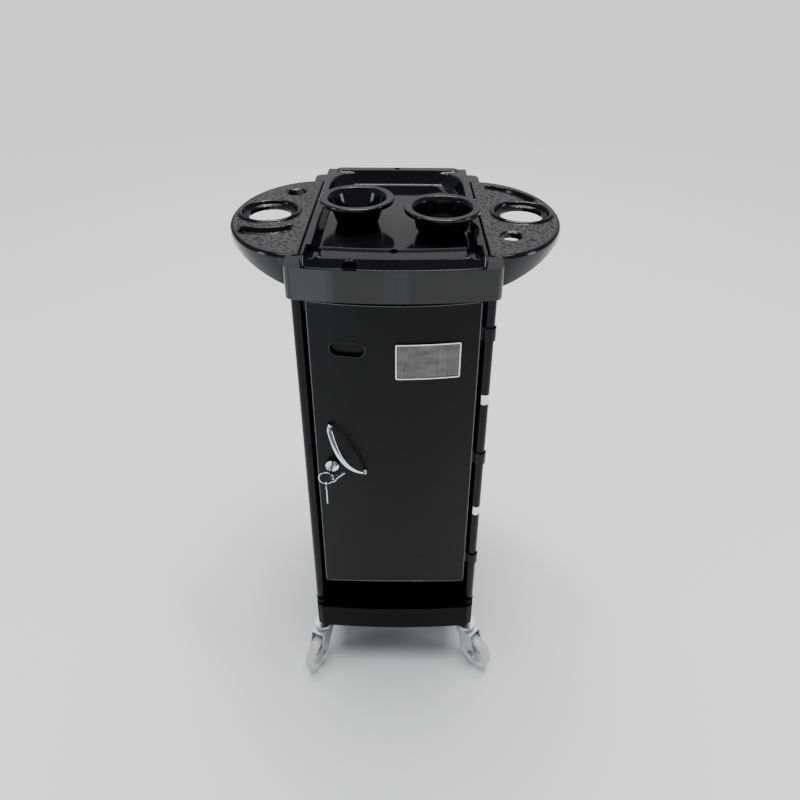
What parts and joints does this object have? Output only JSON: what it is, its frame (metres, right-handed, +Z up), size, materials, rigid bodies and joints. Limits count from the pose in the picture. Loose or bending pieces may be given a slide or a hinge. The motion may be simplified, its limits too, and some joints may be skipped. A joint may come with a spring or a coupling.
{
  "type": "spa trolley cart",
  "caption": "Upright salon trolley cabinet with a bowed hinged door, dished top tray, two side wings with holder rings, mixing bowls and swivel casters.",
  "frame": {"origin": "on the floor under the middle of the cart", "axes": "+Z up, +X to the right of someone facing the door, the door faces -Y"},
  "size_m": [0.554, 0.4869, 0.9639],
  "materials": {
    "gloss_black": "glossy",
    "wing_black": "fine pebble grain",
    "sleeve_black": "satin",
    "panel_black": "satin powder coat",
    "inner_plastic": "satin",
    "clear_window": "satin",
    "card_grey": "plain dark card",
    "chrome": "polished",
    "wheel_grey": "smooth translucent polyurethane",
    "key_black": "moulded bow on a steel blade",
    "bright_steel": "zinc plated"
  },
  "bodies": {
    "cart_body": {"top_frame": "gloss_black", "top_tray": "gloss_black", "wing_left": "wing_black", "wing_right": "wing_black", "wing_screws": "bright_steel", "post_front_left": "chrome", "post_front_right": "chrome", "post_rear_left": "chrome", "post_rear_right": "chrome", "hinge_post_sleeves": "sleeve_black", "plain_post_sleeves": "sleeve_black", "base_tray": "gloss_black", "back_panel": "inner_plastic", "side_panel_left": "inner_plastic", "side_panel_right": "inner_plastic", "runner_rails": "inner_plastic", "inner_tray_1": "inner_plastic", "inner_tray_2": "inner_plastic", "inner_tray_3": "inner_plastic", "inner_tray_4": "inner_plastic", "inner_tray_5": "inner_plastic", "stem_front_left": "bright_steel", "stem_front_right": "bright_steel", "stem_rear_left": "bright_steel", "stem_rear_right": "bright_steel"},
    "door": {"door_panel": "panel_black", "hinge_clips": "sleeve_black", "hinge_screws": "bright_steel", "pull_handle": "chrome", "handle_screws": "bright_steel", "card_frame": "bright_steel", "card_insert": "card_grey", "card_window": "clear_window", "lock_body": "bright_steel", "lock_nut": "bright_steel"},
    "lock": {"lock_plug": "bright_steel", "lock_key": "key_black", "lock_cam": "bright_steel", "cam_screw": "bright_steel"},
    "keys": {"key_ring": "chrome", "spare_keys": "bright_steel"},
    "left_bowl": {"bowl_left": "gloss_black"},
    "right_bowl": {"bowl_right": "gloss_black"},
    "front_left_swivel": {"fork_front_left": "bright_steel", "axle_front_left": "bright_steel"},
    "front_left_wheel": {"wheel_front_left": "wheel_grey"},
    "front_right_swivel": {"fork_front_right": "bright_steel", "axle_front_right": "bright_steel"},
    "front_right_wheel": {"wheel_front_right": "wheel_grey"},
    "rear_left_swivel": {"fork_rear_left": "bright_steel", "axle_rear_left": "bright_steel"},
    "rear_left_wheel": {"wheel_rear_left": "wheel_grey"},
    "rear_right_swivel": {"fork_rear_right": "bright_steel", "axle_rear_right": "bright_steel"},
    "rear_right_wheel": {"wheel_rear_right": "wheel_grey"}
  },
  "joints": [
    {"name": "door_hinge", "type": "hinge", "parent": "cart_body", "child": "door", "pos_m": [0.148, -0.184, 0.55], "axis": [0, 0, 1], "range_deg": [0, 110]},
    {"name": "lock_turn", "type": "hinge", "parent": "door", "child": "lock", "pos_m": [-0.107, -0.19, 0.542], "axis": [0, 1, 0], "range_deg": [0, 90]},
    {"name": "key_ring_hang", "type": "hinge", "parent": "lock", "child": "keys", "pos_m": [-0.107, -0.22, 0.542], "axis": [0, 1, 0], "range_deg": [-90, 0]},
    {"name": "left_bowl_lift", "type": "slide", "parent": "cart_body", "child": "left_bowl", "axis": [0, 0, 1], "range_m": [0, 0.12]},
    {"name": "right_bowl_lift", "type": "slide", "parent": "cart_body", "child": "right_bowl", "axis": [0, 0, 1], "range_m": [0, 0.12]},
    {"name": "front_left_caster_swivel", "type": "hinge", "parent": "cart_body", "child": "front_left_swivel", "pos_m": [-0.148, -0.184, 0.09], "axis": [0, 0, 1], "continuous": true},
    {"name": "front_left_wheel_spin", "type": "hinge", "parent": "front_left_swivel", "child": "front_left_wheel", "pos_m": [-0.15941, -0.20847, 0.0375], "axis": [0.9063, -0.4226, 0], "continuous": true},
    {"name": "front_right_caster_swivel", "type": "hinge", "parent": "cart_body", "child": "front_right_swivel", "pos_m": [0.148, -0.184, 0.09], "axis": [0, 0, 1], "continuous": true},
    {"name": "front_right_wheel_spin", "type": "hinge", "parent": "front_right_swivel", "child": "front_right_wheel", "pos_m": [0.16709, -0.20309, 0.0375], "axis": [0.7071, 0.7071, 0], "continuous": true},
    {"name": "rear_left_caster_swivel", "type": "hinge", "parent": "cart_body", "child": "rear_left_swivel", "pos_m": [-0.148, 0.18, 0.09], "axis": [0, 0, 1], "continuous": true},
    {"name": "rear_left_wheel_spin", "type": "hinge", "parent": "rear_left_swivel", "child": "rear_left_wheel", "pos_m": [-0.15723, 0.20537, 0.0375], "axis": [-0.9397, -0.342, 0], "continuous": true},
    {"name": "rear_right_caster_swivel", "type": "hinge", "parent": "cart_body", "child": "rear_right_swivel", "pos_m": [0.148, 0.18, 0.09], "axis": [0, 0, 1], "continuous": true},
    {"name": "rear_right_wheel_spin", "type": "hinge", "parent": "rear_right_swivel", "child": "rear_right_wheel", "pos_m": [0.15723, 0.20537, 0.0375], "axis": [-0.9397, 0.342, 0], "continuous": true}
  ],
  "couplings": [
    {"joint": "key_ring_hang", "follows": "lock_turn", "ratio": -1}
  ]
}
